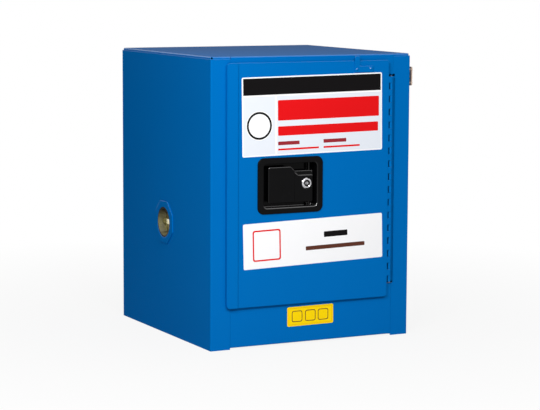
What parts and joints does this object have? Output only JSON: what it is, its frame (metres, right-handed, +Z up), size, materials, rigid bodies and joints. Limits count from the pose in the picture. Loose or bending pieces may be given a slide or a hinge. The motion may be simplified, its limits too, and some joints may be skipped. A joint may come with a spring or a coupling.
{
  "type": "hazardous liquid safety cabinet",
  "caption": "Double-walled steel countertop safety cabinet: hinged door with a recessed key-lock paddle latch, raised sill, shelf over a sump tray, and capped side vents.",
  "frame": {"origin": "middle of the underside, on the surface that the cabinet stands on", "axes": "+X to the viewer's right facing the door, the door faces -Y, +Z up"},
  "size_m": [0.4457, 0.4591, 0.559],
  "materials": {
    "cabinet_paint": "satin blue powder coat",
    "liner_paint": "satin blue powder coat inside",
    "black_paint": "fine-textured black powder coat",
    "zinc_steel": "bright zinc plate",
    "chrome": "polished chrome plate",
    "spring_steel": "oiled spring wire",
    "vent_plate": "yellow zinc chromate plate",
    "link_brass": "tinned brass",
    "gasket_rubber": "black nitrile rubber",
    "screen_steel": "stainless perforated disc",
    "white_vinyl": "white vinyl with plain bands and bars",
    "yellow_vinyl": "yellow vinyl with plain outlines"
  },
  "bodies": {
    "cabinet": {"side_panel_left": "cabinet_paint", "side_panel_right": "cabinet_paint", "top_panel": "cabinet_paint", "kick_panel": "cabinet_paint", "back_panel": "cabinet_paint", "base_panel": "cabinet_paint", "liner_left": "liner_paint", "liner_right": "liner_paint", "liner_back": "liner_paint", "liner_top": "liner_paint", "sump_pan": "liner_paint", "shelf_uprights": "zinc_steel", "shelf_clips": "zinc_steel", "hinge_frame_leaf": "cabinet_paint", "hinge_pin": "zinc_steel", "strike_plate": "zinc_steel", "strike_screws": "zinc_steel", "link_posts": "zinc_steel", "fusible_link": "link_brass", "link_screws": "zinc_steel", "kick_sticker": "yellow_vinyl", "earth_stud": "zinc_steel", "earth_washer": "zinc_steel", "earth_nut": "zinc_steel", "vent_flange_left": "cabinet_paint", "vent_screen_left": "screen_steel", "vent_flange_right": "cabinet_paint", "vent_screen_right": "screen_steel"},
    "door": {"door_skin": "cabinet_paint", "door_inner_pan": "liner_paint", "hinge_door_leaf": "cabinet_paint", "latch_dish": "black_paint", "dish_nuts": "zinc_steel", "paddle_pin": "black_paint", "paddle_spring": "spring_steel", "rocker_clip": "spring_steel", "bolt_spring": "spring_steel", "bolt_bracket": "zinc_steel", "bolt_bush": "zinc_steel", "door_bracket": "cabinet_paint", "bracket_rivets": "cabinet_paint", "upper_sticker": "white_vinyl", "lower_sticker": "white_vinyl"},
    "paddle_body": {"paddle": "black_paint", "lock_cylinder": "chrome", "lock_nut": "zinc_steel"},
    "lock_core": {"lock_plug": "chrome", "lock_cam": "zinc_steel"},
    "rocker_body": {"rocker": "zinc_steel"},
    "bolt_body": {"latch_bolt": "zinc_steel", "bolt_collar": "zinc_steel"},
    "shelf_body": {"shelf": "zinc_steel"},
    "gasket_left_body": {"vent_gasket_left": "gasket_rubber"},
    "plug_left_body": {"vent_plug_left": "vent_plate"},
    "gasket_right_body": {"vent_gasket_right": "gasket_rubber"},
    "plug_right_body": {"vent_plug_right": "vent_plate"}
  },
  "joints": [
    {"name": "door_hinge", "type": "hinge", "parent": "cabinet", "child": "door", "pos_m": [0.1718, -0.2195, 0.3], "axis": [0, 0, 1], "range_deg": [0, 170]},
    {"name": "paddle_pivot", "type": "hinge", "parent": "door", "child": "paddle_body", "pos_m": [-0.005, -0.211, 0.312], "axis": [0, 0, 1], "range_deg": [0, 25], "stiffness_Nm_per_rad": 0.6, "springref_deg": -11.46},
    {"name": "rocker_pivot", "type": "hinge", "parent": "door", "child": "rocker_body", "pos_m": [-0.0103, -0.192, 0.2766], "axis": [0, 1, 0], "range_deg": [-25, 0]},
    {"name": "bolt_slide", "type": "slide", "parent": "door", "child": "bolt_body", "axis": [1, 0, 0], "range_m": [0, 0.0102], "stiffness_N_per_m": 300, "springref_m": -0.015, "deforming": ["bolt_spring"]},
    {"name": "lock_turn", "type": "hinge", "parent": "paddle_body", "child": "lock_core", "pos_m": [-0.0145, -0.21, 0.3136], "axis": [0, 1, 0], "range_deg": [-90, 0]},
    {"name": "shelf_lift", "type": "slide", "parent": "cabinet", "child": "shelf_body", "axis": [0, 0, 1], "range_m": [0, 0.06]},
    {"name": "plug_left_travel", "type": "slide", "parent": "cabinet", "child": "gasket_left_body", "axis": [-1, 0, 0], "range_m": [0, 0.01777]},
    {"name": "plug_left_turn", "type": "hinge", "parent": "gasket_left_body", "child": "plug_left_body", "pos_m": [-0.208, 0, 0.223], "axis": [-1, 0, 0], "range_deg": [0, 2880]},
    {"name": "plug_right_travel", "type": "slide", "parent": "cabinet", "child": "gasket_right_body", "axis": [1, 0, 0], "range_m": [0, 0.01777]},
    {"name": "plug_right_turn", "type": "hinge", "parent": "gasket_right_body", "child": "plug_right_body", "pos_m": [0.208, 0, 0.223], "axis": [1, 0, 0], "range_deg": [0, 2880]}
  ],
  "couplings": [
    {"joint": "rocker_pivot", "follows": "paddle_pivot", "ratio": -1},
    {"joint": "bolt_slide", "follows": "paddle_pivot", "m_per_rad": 0.02325},
    {"joint": "plug_left_travel", "follows": "plug_left_turn", "m_per_rad": 0.0003516},
    {"joint": "plug_right_travel", "follows": "plug_right_turn", "m_per_rad": 0.0003516}
  ]
}
